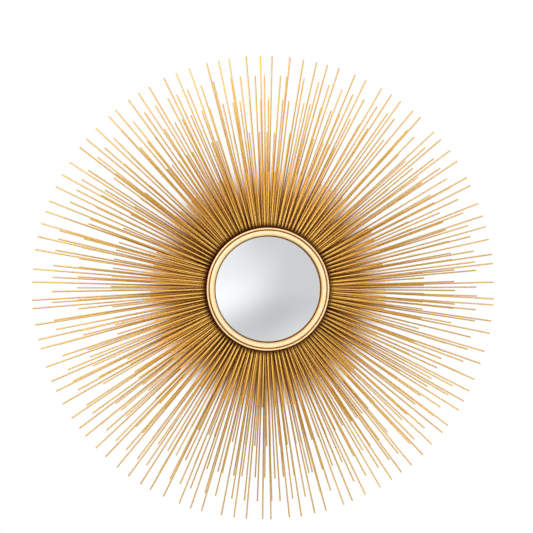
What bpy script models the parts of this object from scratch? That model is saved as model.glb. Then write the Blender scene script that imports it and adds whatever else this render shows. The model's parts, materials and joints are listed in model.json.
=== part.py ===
"""Sunburst wall mirror: a convex glass in a turned bezel, ringed by five stacked layers of straight metal rays.

Every piece is drawn in one frame that is easy to read: x to the right, y up and z forwards, away from the wall.
The wall is the plane z = 0. The empty "wall_centre" turns that frame, so that in the world the mirror
faces -Y and +Z is up. Sizes below are in millimetres, and MM makes metres of them.
"""

import math
import random

import bmesh
import bpy
from mathutils import Matrix, Vector

MM = 0.001

# ---------------------------------------------------------------- driving sizes, in millimetres and degrees
TOUCH_GAP = 0.3  # between pieces that rest on each other
RUNNING_GAP = 0.3  # radial, between a moving or threaded piece and its hole

RAY_DIAMETER = 3.0
RAY_SIDES = 5
QUARTERS = 4
QUARTER_GAP = 0.6  # between the ends of two quarter arcs
RAY_SEED = 7
RAY_TIP_JITTER = 1.2  # degrees round the wall, at the tip
RAY_ROOT_JITTER = 0.35  # degrees round the wall, at the weld
RAY_TILT_JITTER = 0.3  # degrees towards or away from the wall
RAY_LENGTH_JITTER = 1.0
# One entry for each layer, from the wall forwards: how far the tips reach, how far the rays lean forwards, and how
# many rays a quarter of the layer holds.
RAY_LAYERS = (
    {"reach": 500.0, "lean": 0.0, "rays": 26},
    {"reach": 456.0, "lean": 3.0, "rays": 26},
    {"reach": 402.0, "lean": 7.0, "rays": 29},
    {"reach": 331.0, "lean": 12.0, "rays": 30},
    {"reach": 248.0, "lean": 18.0, "rays": 28},
)
LAYER_TURN = 0.382  # each layer is turned by this share of its own ray spacing

BAND_INNER_RADIUS = 112.0  # the flat band that a layer's rays are welded to
BAND_OUTER_RADIUS = 120.0
BAND_HEIGHT = 5.0
BAND_STEPS_PER_QUARTER = 7
WELD_DEPTH = 3.0  # how far a ray's root is sunk into its band
SPACER_OUTER_RADIUS = 118.0
SPACER_HEIGHT = 3.4

DRUM_WALL = 1.5
PLATE_THICKNESS = 2.0
BACK_PLATE_RADIUS = 119.0
FRONT_PLATE_RADIUS = 126.0
FRONT_PLATE_BORE_RADIUS = 60.0

BUMPER_HEIGHT = 8.0
BUMPER_RADIUS = 7.0
BUMPER_CIRCLE_RADIUS = 105.0
BUMPER_COUNT = 4

HUB_BOLT_COUNT = 4
HUB_BOLT_RADIUS = 2.5
HUB_BOLT_CIRCLE_RADIUS = 95.0
HUB_BOLT_HEAD_RADIUS = 4.5
HUB_BOLT_HEAD_HEIGHT = 3.0
HUB_NUT_RADIUS = 5.2
HUB_NUT_HEIGHT = 4.0

BEZEL_OUTER_RADIUS = 130.5
BEZEL_BASE_RADIUS = 126.0
BEZEL_POCKET_RADIUS = 117.6
BEZEL_LIP_RADIUS = 113.4
BEZEL_LIP_THICKNESS = 2.2
BEZEL_RIM_CLEARANCE = 7.8  # between the front layer's rays and the bezel's rim, which hangs over them
BEZEL_BAND_CROWN = 3.6
BEZEL_BAND_FLATNESS = 0.6  # 1 is a plain elliptical crown, and less is flatter on top
BEZEL_BAND_OUTER_RADIUS = 124.4
BEZEL_BEAD_RADIUS = 2.3
BEZEL_GROOVE_DEPTH = 1.2
BEZEL_STEPS = 48
BEZEL_CROWN_STEPS = 8
BEZEL_SCREW_COUNT = 4
BEZEL_SCREW_RADIUS = 1.5
BEZEL_SCREW_LENGTH = 8.0
BEZEL_SCREW_HEAD_RADIUS = 2.8
BEZEL_SCREW_HEAD_HEIGHT = 1.8
BEZEL_SCREW_CIRCLE_RADIUS = 121.8

BOARD_THICKNESS = 3.0
FOAM_INNER_RADIUS = 106.0
FOAM_THICKNESS = 1.8
GLASS_THICKNESS = 3.0
GLASS_RADIUS = 116.5
GLASS_CURVE_RADIUS = 560.0
GLASS_STEPS = 4
GASKET_INNER_RADIUS = 111.8
GASKET_THICKNESS = 1.2

STRAP_WIDTH = 16.0
STRAP_THICKNESS = 1.5
STRAP_LENGTH = 42.0
STRAP_HALF_SPACING = 45.0
HINGE_HEIGHT_ON_WALL = 70.0  # of the hanging rings' hinges above the centre
HANG_RING_WIRE_RADIUS = 1.5
HANG_RING_HALF_WIDTH = 13.5
HANG_RING_SIDE = 6.5
HANG_RING_CORNER_RADIUS = 2.5
RIVET_RADIUS = 2.0
RIVET_HEAD_RADIUS = 3.5
RIVET_HEAD_HEIGHT = 1.6
RIVET_EDGE = 5.0  # from the strap's lower end to its lower rivet
RIVET_SPACING = 10.5

ROUND_STEPS = 48
HIDDEN_STEPS = 32
SMALL_STEPS = 12
SMOOTH_ANGLE = 80.0  # degrees: a sharper corner than this stays a hard edge in the shading

# ---------------------------------------------------------------- sizes that follow from them
# The corner radius that gives a prism the round ray's own area.
RAY_CORNER_RADIUS = RAY_DIAMETER / 2 * math.sqrt(
    2 * math.pi / (RAY_SIDES * math.sin(2 * math.pi / RAY_SIDES))
)
DRUM_OUTER_RADIUS = BAND_INNER_RADIUS - TOUCH_GAP

BACK_PLATE_REAR = BUMPER_HEIGHT + TOUCH_GAP
BACK_PLATE_FRONT = BACK_PLATE_REAR + PLATE_THICKNESS
LAYER_PITCH = BAND_HEIGHT + SPACER_HEIGHT + 2 * TOUCH_GAP
STACK_REAR = BACK_PLATE_FRONT + TOUCH_GAP
STACK_FRONT = STACK_REAR + len(RAY_LAYERS) * LAYER_PITCH - TOUCH_GAP
FRONT_PLATE_REAR = STACK_FRONT + TOUCH_GAP
FRONT_PLATE_FRONT = FRONT_PLATE_REAR + PLATE_THICKNESS

BEZEL_BASE = FRONT_PLATE_FRONT + TOUCH_GAP
BOARD_REAR = BEZEL_BASE
FOAM_REAR = BOARD_REAR + BOARD_THICKNESS + TOUCH_GAP
GLASS_EDGE_REAR = FOAM_REAR + FOAM_THICKNESS + TOUCH_GAP
GLASS_EDGE_FRONT = GLASS_EDGE_REAR + GLASS_THICKNESS

STRAP_REAR = BACK_PLATE_REAR - TOUCH_GAP
KNUCKLE_BORE_RADIUS = HANG_RING_WIRE_RADIUS + RUNNING_GAP
KNUCKLE_RADIUS = KNUCKLE_BORE_RADIUS + STRAP_THICKNESS
HINGE_DEPTH = STRAP_REAR - KNUCKLE_RADIUS


def glass_drop(radius):
    """How far the glass's sphere falls back from its crown at a radius."""
    return GLASS_CURVE_RADIUS - math.sqrt(GLASS_CURVE_RADIUS**2 - radius**2)


GLASS_CROWN = GLASS_EDGE_FRONT + glass_drop(GLASS_RADIUS)
GASKET_REAR = GLASS_CROWN - glass_drop(GASKET_INNER_RADIUS) + TOUCH_GAP
GASKET_FRONT = GASKET_REAR + GASKET_THICKNESS
BEZEL_LIP_REAR = GASKET_FRONT + TOUCH_GAP
BEZEL_LIP_FRONT = BEZEL_LIP_REAR + BEZEL_LIP_THICKNESS


# ---------------------------------------------------------------- scene and materials
def clear_scene():
    for old in list(bpy.data.objects):
        bpy.data.objects.remove(old, do_unlink=True)


def new_collection(name):
    collection = bpy.data.collections.new(name)
    bpy.context.scene.collection.children.link(collection)
    return collection


def new_material(name, colour, roughness, metallic):
    material = bpy.data.materials.new(name)
    material.use_nodes = True
    shader = material.node_tree.nodes["Principled BSDF"]
    shader.inputs["Base Color"].default_value = (*colour, 1.0)
    shader.inputs["Roughness"].default_value = roughness
    shader.inputs["Metallic"].default_value = metallic
    return material


clear_scene()
MODEL = new_collection("sunburst_mirror")
CUTTERS = new_collection("cutters")
WALL_CENTRE = bpy.data.objects.new("wall_centre", None)
WALL_CENTRE.rotation_euler = (math.radians(90), 0, 0)
MODEL.objects.link(WALL_CENTRE)

GOLD_RAY = new_material("gold_ray", (0.72, 0.43, 0.13), 0.38, 1.0)
GOLD_BEZEL = new_material("gold_bezel", (0.86, 0.64, 0.30), 0.28, 1.0)
MIRROR = new_material("mirror_silver", (0.92, 0.93, 0.94), 0.02, 1.0)
RUBBER = new_material("dark_rubber", (0.05, 0.035, 0.02), 0.7, 0.0)
BOARD = new_material("hardboard", (0.30, 0.19, 0.10), 0.85, 0.0)
FOAM = new_material("foam", (0.12, 0.12, 0.12), 0.95, 0.0)
HUB_STEEL = new_material("hub_steel", (0.10, 0.065, 0.03), 0.5, 0.6)
ZINC = new_material("zinc_plate", (0.62, 0.62, 0.60), 0.35, 1.0)


# ---------------------------------------------------------------- making pieces
def add_piece(name, data, material, place=(0, 0, 0), turn=0.0, parent=WALL_CENTRE):
    """Puts a mesh or curve in the model as one named piece. turn is in degrees about z."""
    piece = bpy.data.objects.new(name, data)
    piece.parent = parent
    piece.location = Vector(place) * MM
    piece.rotation_euler = (0, 0, math.radians(turn))
    if not data.materials:
        data.materials.append(material)
    MODEL.objects.link(piece)
    return piece


def add_cutter(name, data, place=(0, 0, 0)):
    """Puts a helper beside the model, unseen, for a Boolean to use."""
    cutter = bpy.data.objects.new(name, data)
    cutter.parent = WALL_CENTRE
    cutter.location = Vector(place) * MM
    cutter.hide_render = True
    cutter.display_type = "WIRE"
    CUTTERS.objects.link(cutter)
    return cutter


def combine(piece, other, operation):
    boolean = piece.modifiers.new(operation.lower() + "_" + other.name, "BOOLEAN")
    boolean.operation = operation
    boolean.object = other
    boolean.solver = "EXACT"


def mesh_from(name, bm):
    mesh = bpy.data.meshes.new(name)
    bm.to_mesh(mesh)
    bm.free()
    return mesh


def profile_mesh(name, points, closed):
    """A line of edges in the x-z plane, for a Screw modifier to turn about z."""
    bm = bmesh.new()
    corners = [bm.verts.new((x * MM, 0, z * MM)) for x, z in points]
    for first, second in zip(corners, corners[1:]):
        bm.edges.new((first, second))
    if closed:
        bm.edges.new((corners[-1], corners[0]))
    return mesh_from(name, bm)


def turned(name, points, material, closed=True, steps=ROUND_STEPS, mesh=None, place=(0, 0, 0)):
    """A piece turned about its own z axis. The profile runs down the outer side first."""
    piece = add_piece(name, mesh or profile_mesh(name, points, closed), material, place)
    screw = piece.modifiers.new("turn", "SCREW")
    screw.steps = steps
    screw.render_steps = steps
    screw.use_merge_vertices = True
    screw.merge_threshold = 0.00001
    screw.use_smooth_shade = False
    return piece


def ring_profile(inner, outer, rear, front):
    """A rectangular section, down its outer side and back up its inner side."""
    return [(outer, front), (outer, rear), (inner, rear), (inner, front)]


def disc_profile(radius, rear, front):
    return [(0, front), (radius, front), (radius, rear), (0, rear)]


def arc_points(centre, radii, start, end, steps):
    """Points on an ellipse's arc between two angles in degrees."""
    angles = [math.radians(start + (end - start) * i / steps) for i in range(steps + 1)]
    return [(centre[0] + radii[0] * math.cos(a), centre[1] + radii[1] * math.sin(a)) for a in angles]


def around(radius, angle):
    """The point at a radius and an angle in degrees, from +x towards +y."""
    return radius * math.cos(math.radians(angle)), radius * math.sin(math.radians(angle))


def drill(piece, name, radius, centres, rear, front):
    """Cuts a round hole at each centre, from depth rear to depth front."""
    bm = bmesh.new()
    for x, y in centres:
        middle = Matrix.Translation(Vector((x, y, (rear + front) / 2)) * MM)
        bmesh.ops.create_cone(
            bm,
            cap_ends=True,
            segments=SMALL_STEPS,
            radius1=radius * MM,
            radius2=radius * MM,
            depth=(front - rear) * MM,
            matrix=middle,
        )
    combine(piece, add_cutter(name, mesh_from(name, bm)), "DIFFERENCE")


# ---------------------------------------------------------------- rays
def layer_depth(layer):
    """The middle of a layer's band."""
    return STACK_REAR + layer * LAYER_PITCH + BAND_HEIGHT / 2


def ray_spacing(layer):
    return 360.0 / (RAY_LAYERS[layer]["rays"] * QUARTERS)


def layer_phase(layer):
    return layer * LAYER_TURN * ray_spacing(layer)


def ray_ends(layer, index, dice):
    """The root and the tip of one ray."""
    facts = RAY_LAYERS[layer]
    angle = 90 - layer_phase(layer) - (index + 0.5) * ray_spacing(layer)
    root_radius = BAND_OUTER_RADIUS - WELD_DEPTH
    tip_radius = facts["reach"] + dice.uniform(-RAY_LENGTH_JITTER, RAY_LENGTH_JITTER)
    root_angle = angle + dice.uniform(-RAY_ROOT_JITTER, RAY_ROOT_JITTER)
    tip_angle = angle + dice.triangular(-RAY_TIP_JITTER, RAY_TIP_JITTER)
    lean = math.radians(facts["lean"] + dice.uniform(-RAY_TILT_JITTER, RAY_TILT_JITTER))
    # A ray crosses the middle of its band halfway along the weld, so that it leaves through the outer wall.
    weld_middle = BAND_OUTER_RADIUS - WELD_DEPTH / 2
    root_depth = layer_depth(layer) + (root_radius - weld_middle) * math.tan(lean)
    tip_depth = layer_depth(layer) + (tip_radius - weld_middle) * math.tan(lean)
    root = Vector((*around(root_radius, root_angle), root_depth))
    tip = Vector((*around(tip_radius, tip_angle), tip_depth))
    return root, tip


def add_ray(bm, root, tip):
    along = tip - root
    turn = along.to_track_quat("Z", "Y").to_matrix().to_4x4()
    bmesh.ops.create_cone(
        bm,
        cap_ends=True,
        segments=RAY_SIDES,
        radius1=RAY_CORNER_RADIUS * MM,
        radius2=RAY_CORNER_RADIUS * MM,
        depth=along.length * MM,
        matrix=Matrix.Translation((root + tip) / 2 * MM) @ turn,
    )


def band_quarter_mesh(name, layer, quarter):
    """A quarter of a flat band, its section swept round the wall's axis."""
    bm = bmesh.new()
    half_gap = math.degrees(QUARTER_GAP / 2 / BAND_OUTER_RADIUS)
    sweep = 360.0 / QUARTERS - 2 * half_gap
    start = 90 - layer_phase(layer) - quarter * 360.0 / QUARTERS - half_gap
    rear = layer_depth(layer) - BAND_HEIGHT / 2
    front = layer_depth(layer) + BAND_HEIGHT / 2
    # The flats of the swept band are pushed out so that their middles reach the true radius.
    flat = math.cos(math.radians(sweep / BAND_STEPS_PER_QUARTER / 2))
    section = [
        bm.verts.new(Vector((*around(r, start), z)) * MM)
        for r, z in (
            (BAND_OUTER_RADIUS, front),
            (BAND_OUTER_RADIUS, rear),
            (BAND_INNER_RADIUS / flat, rear),
            (BAND_INNER_RADIUS / flat, front),
        )
    ]
    face = bm.faces.new(section)
    bmesh.ops.spin(
        bm,
        geom=[face, *face.edges, *face.verts],
        axis=(0, 0, 1),
        cent=(0, 0, 0),
        angle=-math.radians(sweep),
        steps=BAND_STEPS_PER_QUARTER,
        use_duplicate=False,
    )
    bmesh.ops.remove_doubles(bm, verts=bm.verts, dist=0.000001)
    bmesh.ops.recalc_face_normals(bm, faces=bm.faces)
    return mesh_from(name, bm)


def ray_front(layer, radius):
    """How far out from the wall the fronts of a layer's rays are, at a radius."""
    lean = math.radians(RAY_LAYERS[layer]["lean"])
    weld_middle = BAND_OUTER_RADIUS - WELD_DEPTH / 2
    middle = layer_depth(layer) + (radius - weld_middle) * math.tan(lean)
    return middle + RAY_DIAMETER / 2 / math.cos(lean)


def make_rays():
    for layer in range(len(RAY_LAYERS)):
        dice = random.Random(RAY_SEED + layer)
        for quarter in range(QUARTERS):
            name = f"ray_layer_{layer + 1}_quarter_{quarter + 1}"
            band = add_piece(name, band_quarter_mesh(name, layer, quarter), GOLD_RAY)
            bm = bmesh.new()
            rays = RAY_LAYERS[layer]["rays"]
            for ray in range(rays):
                add_ray(bm, *ray_ends(layer, quarter * rays + ray, dice))
            combine(band, add_cutter(name + "_rays", mesh_from(name + "_rays", bm)), "UNION")


# ---------------------------------------------------------------- hub
def make_bumpers():
    profile = [
        (0, BUMPER_HEIGHT),
        (BUMPER_RADIUS, BUMPER_HEIGHT),
        (BUMPER_RADIUS * 0.85, 0),
        (0, 0),
    ]
    mesh = profile_mesh("bumper", profile, closed=False)
    for index in range(BUMPER_COUNT):
        place = around(BUMPER_CIRCLE_RADIUS, 45 + index * 360 / BUMPER_COUNT)
        turned(f"wall_bumper_{index + 1}", None, RUBBER, steps=SMALL_STEPS * 2, mesh=mesh, place=(*place, 0))


def hub_bolt_places():
    return [around(HUB_BOLT_CIRCLE_RADIUS, 90 * i) for i in range(HUB_BOLT_COUNT)]


def rivet_places():
    lower_end = HINGE_HEIGHT_ON_WALL - STRAP_LENGTH
    heights = (RIVET_EDGE, RIVET_EDGE + RIVET_SPACING)
    return [(side * STRAP_HALF_SPACING, lower_end + h) for side in (-1, 1) for h in heights]


def bezel_screw_places():
    turn = 360 / BEZEL_SCREW_COUNT
    return [around(BEZEL_SCREW_CIRCLE_RADIUS, (i + 0.5) * turn) for i in range(BEZEL_SCREW_COUNT)]


def make_plates():
    back = turned(
        "back_plate",
        disc_profile(BACK_PLATE_RADIUS, BACK_PLATE_REAR, BACK_PLATE_FRONT),
        HUB_STEEL,
        closed=False,
    )
    past = PLATE_THICKNESS
    through_back = (BACK_PLATE_REAR - past, BACK_PLATE_FRONT + past)
    drill(back, "bolt_holes_rear", HUB_BOLT_RADIUS + RUNNING_GAP, hub_bolt_places(), *through_back)
    drill(back, "rivet_holes", RIVET_RADIUS + RUNNING_GAP, rivet_places(), *through_back)
    front = turned(
        "front_plate",
        ring_profile(FRONT_PLATE_BORE_RADIUS, FRONT_PLATE_RADIUS, FRONT_PLATE_REAR, FRONT_PLATE_FRONT),
        HUB_STEEL,
    )
    through_front = (FRONT_PLATE_REAR - past, FRONT_PLATE_FRONT + past)
    drill(front, "screw_holes_front", BEZEL_SCREW_RADIUS + RUNNING_GAP, bezel_screw_places(), *through_front)


def make_drum():
    turned(
        "hub_drum",
        ring_profile(DRUM_OUTER_RADIUS - DRUM_WALL, DRUM_OUTER_RADIUS, STACK_REAR, STACK_FRONT),
        HUB_STEEL,
        steps=HIDDEN_STEPS,
    )


def make_spacers():
    for layer in range(len(RAY_LAYERS)):
        rear = layer_depth(layer) + BAND_HEIGHT / 2 + TOUCH_GAP
        turned(
            f"ray_spacer_{layer + 1}",
            ring_profile(BAND_INNER_RADIUS, SPACER_OUTER_RADIUS, rear, rear + SPACER_HEIGHT),
            HUB_STEEL,
            steps=HIDDEN_STEPS,
        )


def make_hub_bolts():
    """Button-head bolts from behind, each in a nut that is welded behind the front plate."""
    head_front = BACK_PLATE_REAR - TOUCH_GAP
    head_rear = head_front - HUB_BOLT_HEAD_HEIGHT
    tip = FRONT_PLATE_REAR - TOUCH_GAP
    bolt = profile_mesh(
        "hub_bolt",
        [
            (0, tip),
            (HUB_BOLT_RADIUS, tip),
            (HUB_BOLT_RADIUS, head_front),
            (HUB_BOLT_HEAD_RADIUS, head_front),
            (HUB_BOLT_HEAD_RADIUS * 0.9, (head_front + head_rear) / 2),
            (HUB_BOLT_HEAD_RADIUS * 0.55, head_rear),
            (0, head_rear),
        ],
        closed=False,
    )
    nut = profile_mesh("hub_nut", disc_profile(HUB_NUT_RADIUS, tip - HUB_NUT_HEIGHT, tip), closed=False)
    for index, place in enumerate(hub_bolt_places()):
        turned(f"hub_bolt_{index + 1}", None, ZINC, steps=SMALL_STEPS, mesh=bolt, place=(*place, 0))
        hexagon = turned(f"hub_nut_{index + 1}", None, ZINC, steps=6, mesh=nut, place=(*place, 0))
        ends = (tip - 2 * HUB_NUT_HEIGHT, tip + HUB_NUT_HEIGHT)
        drill(hexagon, f"nut_bore_{index + 1}", HUB_BOLT_RADIUS + RUNNING_GAP, [place], *ends)


# ---------------------------------------------------------------- bezel and glass
def bezel_profile():
    """Bead, groove and crowned band on a base that undercuts outwards, with a pocket for the glass."""
    bead_middle = BEZEL_OUTER_RADIUS - BEZEL_BEAD_RADIUS
    bead_inner = bead_middle - BEZEL_BEAD_RADIUS
    lip = BEZEL_LIP_FRONT
    band_middle = (BEZEL_LIP_RADIUS + BEZEL_BAND_OUTER_RADIUS) / 2
    band_half = (BEZEL_BAND_OUTER_RADIUS - BEZEL_LIP_RADIUS) / 2
    half_turn = arc_points((0, 0), (1, 1), 180, 0, BEZEL_CROWN_STEPS)
    crown = [
        (band_middle + across * band_half, lip + BEZEL_BAND_CROWN * max(0, up) ** BEZEL_BAND_FLATNESS)
        for across, up in half_turn
    ]
    bead = arc_points((bead_middle, lip), (BEZEL_BEAD_RADIUS, BEZEL_BEAD_RADIUS), 180, 0, 5)
    groove = [
        (BEZEL_BAND_OUTER_RADIUS, lip - BEZEL_GROOVE_DEPTH),
        (bead_inner, lip - BEZEL_GROOVE_DEPTH),
    ]
    rim_rear = ray_front(len(RAY_LAYERS) - 1, BEZEL_OUTER_RADIUS) + BEZEL_RIM_CLEARANCE
    body = [
        (BEZEL_OUTER_RADIUS, rim_rear),
        (BEZEL_BASE_RADIUS, BEZEL_BASE),
        (BEZEL_POCKET_RADIUS, BEZEL_BASE),
        (BEZEL_POCKET_RADIUS, BEZEL_LIP_REAR),
        (BEZEL_LIP_RADIUS, BEZEL_LIP_REAR),
    ]
    return crown + groove + bead + body


def make_bezel():
    bezel = turned("bezel", bezel_profile(), GOLD_BEZEL, steps=BEZEL_STEPS)
    depth = BEZEL_SCREW_LENGTH - PLATE_THICKNESS
    ends = (BEZEL_BASE - depth, BEZEL_BASE + depth)
    drill(bezel, "screw_holes_bezel", BEZEL_SCREW_RADIUS + RUNNING_GAP, bezel_screw_places(), *ends)
    seat = FRONT_PLATE_REAR - TOUCH_GAP
    screw = profile_mesh(
        "bezel_screw",
        [
            (0, seat + BEZEL_SCREW_LENGTH),
            (BEZEL_SCREW_RADIUS, seat + BEZEL_SCREW_LENGTH - BEZEL_SCREW_RADIUS),
            (BEZEL_SCREW_RADIUS, seat),
            (BEZEL_SCREW_HEAD_RADIUS, seat),
            (BEZEL_SCREW_HEAD_RADIUS * 0.75, seat - BEZEL_SCREW_HEAD_HEIGHT),
            (0, seat - BEZEL_SCREW_HEAD_HEIGHT),
        ],
        closed=False,
    )
    for index, place in enumerate(bezel_screw_places()):
        turned(f"bezel_screw_{index + 1}", None, ZINC, steps=SMALL_STEPS, mesh=screw, place=(*place, 0))


def make_glass():
    radii = [GLASS_RADIUS * i / GLASS_STEPS for i in range(GLASS_STEPS + 1)]
    front = [(r, GLASS_CROWN - glass_drop(r)) for r in radii]
    rear = [(r, z - GLASS_THICKNESS) for r, z in reversed(front)]
    turned("mirror_glass", front + rear, MIRROR, closed=False)
    outer = BEZEL_POCKET_RADIUS - TOUCH_GAP
    gasket = ring_profile(GASKET_INNER_RADIUS, outer, GASKET_REAR, GASKET_FRONT)
    turned("glass_gasket", gasket, RUBBER, steps=BEZEL_STEPS)
    foam = ring_profile(FOAM_INNER_RADIUS, outer, FOAM_REAR, FOAM_REAR + FOAM_THICKNESS)
    turned("foam_ring", foam, FOAM, steps=HIDDEN_STEPS)
    board = disc_profile(outer, BOARD_REAR, BOARD_REAR + BOARD_THICKNESS)
    turned("backing_board", board, BOARD, closed=False)


# ---------------------------------------------------------------- hangers
def strap_mesh():
    """The strap's side view, with its eye rolled round the ring, extruded to the strap's width."""
    curve = bpy.data.curves.new("hanger_strap", "CURVE")
    curve.dimensions = "2D"
    curve.fill_mode = "BOTH"
    curve.extrude = STRAP_WIDTH / 2 * MM
    # In this drawing x is up along the wall and y is away from the wall, from the hinge's middle.
    meet = math.degrees(math.asin((KNUCKLE_RADIUS - STRAP_THICKNESS) / KNUCKLE_RADIUS))
    outline = [(-STRAP_LENGTH, KNUCKLE_RADIUS)]
    outline += arc_points((0, 0), (KNUCKLE_RADIUS, KNUCKLE_RADIUS), 90, -180 - meet, 14)
    outline += [(-STRAP_LENGTH, KNUCKLE_RADIUS - STRAP_THICKNESS)]
    eye = arc_points((0, 0), (KNUCKLE_BORE_RADIUS, KNUCKLE_BORE_RADIUS), 0, 360, SMALL_STEPS)[:-1]
    for points in (outline, eye):
        spline = curve.splines.new("POLY")
        spline.points.add(len(points) - 1)
        for point, (x, y) in zip(spline.points, points):
            point.co = (x * MM, y * MM, 0, 1)
        spline.use_cyclic_u = True
    drawing = bpy.data.objects.new("strap_drawing", curve)
    mesh = bpy.data.meshes.new_from_object(drawing)
    bpy.data.objects.remove(drawing)
    # x up the wall becomes y, and y away from the wall becomes z, so that the width runs along x.
    mesh.transform(Matrix(((0, 0, 1, 0), (1, 0, 0, 0), (0, 1, 0, 0), (0, 0, 0, 1))))
    bm = bmesh.new()
    bm.from_mesh(mesh)
    bmesh.ops.remove_doubles(bm, verts=bm.verts, dist=0.000001)
    bmesh.ops.recalc_face_normals(bm, faces=bm.faces)
    bm.to_mesh(mesh)
    bm.free()
    return mesh


def ring_curve():
    """A D of round wire. Its straight bar lies on the hinge's axis, and the bow hangs down."""
    wide = HANG_RING_HALF_WIDTH
    corner = HANG_RING_CORNER_RADIUS
    outline = arc_points((wide - corner, -corner), (corner, corner), 90, 0, 3)
    outline += arc_points((0, -HANG_RING_SIDE), (wide, wide), 0, -180, 12)
    outline += arc_points((corner - wide, -corner), (corner, corner), 180, 90, 3)
    curve = bpy.data.curves.new("hanger_ring", "CURVE")
    curve.dimensions = "3D"
    curve.bevel_depth = HANG_RING_WIRE_RADIUS * MM
    curve.bevel_resolution = 2
    spline = curve.splines.new("POLY")
    spline.points.add(len(outline) - 1)
    for point, (x, y) in zip(spline.points, outline):
        point.co = (x * MM, y * MM, 0, 1)
    spline.use_cyclic_u = True
    return curve


def make_hangers():
    strap_shape = strap_mesh()
    ring_shape = ring_curve()
    strap_front = STRAP_REAR - STRAP_THICKNESS
    rivet = profile_mesh(
        "rivet",
        [
            (0, BACK_PLATE_FRONT + TOUCH_GAP),
            (RIVET_RADIUS, BACK_PLATE_FRONT + TOUCH_GAP),
            (RIVET_RADIUS, strap_front - TOUCH_GAP),
            (RIVET_HEAD_RADIUS, strap_front - TOUCH_GAP),
            (RIVET_HEAD_RADIUS * 0.6, strap_front - RIVET_HEAD_HEIGHT),
            (0, strap_front - RIVET_HEAD_HEIGHT),
        ],
        closed=False,
    )
    for side, word in ((-1, "left"), (1, "right")):
        hinge = (side * STRAP_HALF_SPACING, HINGE_HEIGHT_ON_WALL, HINGE_DEPTH)
        add_piece(f"hanger_ring_{word}", ring_shape, ZINC, hinge)
        strap = add_piece(f"hanger_strap_{word}", strap_shape, ZINC, hinge)
        holes = [place for place in rivet_places() if place[0] * side > 0]
        ends = (strap_front - STRAP_THICKNESS, STRAP_REAR + STRAP_THICKNESS)
        drill(strap, f"rivet_holes_{word}", RIVET_RADIUS + RUNNING_GAP, holes, *ends)
    for index, place in enumerate(rivet_places()):
        turned(f"hanger_rivet_{index + 1}", None, ZINC, steps=SMALL_STEPS, mesh=rivet, place=(*place, 0))


def shade_round_pieces():
    """Applies each piece's modifiers, and shades it smooth except across its hard edges."""
    depsgraph = bpy.context.evaluated_depsgraph_get()
    pieces = [piece for piece in MODEL.objects if piece.type == "MESH"]
    finished = [bpy.data.meshes.new_from_object(piece.evaluated_get(depsgraph)) for piece in pieces]
    for piece, mesh in zip(pieces, finished):
        piece.modifiers.clear()
        piece.data = mesh
        mesh.name = piece.name
        mesh.shade_smooth()
        mesh.set_sharp_from_angle(angle=math.radians(SMOOTH_ANGLE))
    for cutter in list(CUTTERS.objects):
        bpy.data.objects.remove(cutter, do_unlink=True)


make_rays()
make_bumpers()
make_plates()
make_drum()
make_spacers()
make_hub_bolts()
make_bezel()
make_glass()
make_hangers()
shade_round_pieces()
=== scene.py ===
"""Sunburst wall mirror: the visible pieces, their finishes and the studio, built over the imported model.

The mirror faces -Y, the wall is the plane y = 0, and +Z is up. A "depth" is a distance out from the wall,
towards the viewer. Sizes in the code are metres; MM turns millimetres into them.
"""

import json
import math
import random

import bmesh
import bpy
from bpy.props import FloatProperty, FloatVectorProperty, IntProperty, IntVectorProperty, PointerProperty
from mathutils import Matrix, Vector


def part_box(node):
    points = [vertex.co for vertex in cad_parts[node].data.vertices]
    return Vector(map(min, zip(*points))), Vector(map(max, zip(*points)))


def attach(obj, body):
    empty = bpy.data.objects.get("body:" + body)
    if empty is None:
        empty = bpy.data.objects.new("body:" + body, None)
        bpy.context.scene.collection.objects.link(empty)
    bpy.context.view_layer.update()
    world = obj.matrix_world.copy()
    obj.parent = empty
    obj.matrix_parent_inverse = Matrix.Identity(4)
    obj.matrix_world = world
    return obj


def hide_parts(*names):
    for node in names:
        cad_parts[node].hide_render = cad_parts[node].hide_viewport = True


bl_info = {
    "name": "Sunburst Mirror",
    "version": (1, 0, 0),
    "blender": (4, 5, 0),
    "location": "View3D > Sidebar > Sunburst",
    "description": "Models the pieces, finishes and studio of a sunburst wall mirror",
    "category": "Object",
}

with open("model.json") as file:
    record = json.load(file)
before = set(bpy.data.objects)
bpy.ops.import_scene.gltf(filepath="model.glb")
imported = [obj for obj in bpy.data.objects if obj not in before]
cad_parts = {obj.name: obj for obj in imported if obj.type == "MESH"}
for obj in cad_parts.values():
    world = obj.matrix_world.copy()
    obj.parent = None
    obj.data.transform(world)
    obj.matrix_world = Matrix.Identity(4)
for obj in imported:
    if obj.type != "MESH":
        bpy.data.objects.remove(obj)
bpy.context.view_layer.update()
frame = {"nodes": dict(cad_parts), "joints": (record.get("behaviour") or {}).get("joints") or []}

MM = 0.001
LAYERS = 5
QUARTERS = 4
FASTENERS = 4  # bolts, nuts, screws, bumpers and rivets each come in fours
MIRROR_BODY = "mirror"


# ---------------------------------------------------------------- numbers
def linear(code):
    """The linear colour of an sRGB hex code."""
    parts = [int(code[i : i + 2], 16) / 255 for i in (1, 3, 5)]
    return tuple(p / 12.92 if p <= 0.04045 else ((p + 0.055) / 1.055) ** 2.4 for p in parts)


def on_wall(radius, angle, depth):
    """The point at a radius and an angle in degrees, from +X towards +Z, at a depth from the wall."""
    turn = math.radians(angle)
    return Vector((radius * math.cos(turn), -depth, radius * math.sin(turn)))


def arc(centre, radii, start, end, steps):
    """Points along an ellipse's arc, between two angles in degrees."""
    turns = [math.radians(start + (end - start) * i / steps) for i in range(steps + 1)]
    return [(centre[0] + radii[0] * math.cos(t), centre[1] + radii[1] * math.sin(t)) for t in turns]


def depths(node):
    """How far out from the wall a CAD node starts and ends."""
    low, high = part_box(node)
    return -high.y, -low.y


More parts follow.
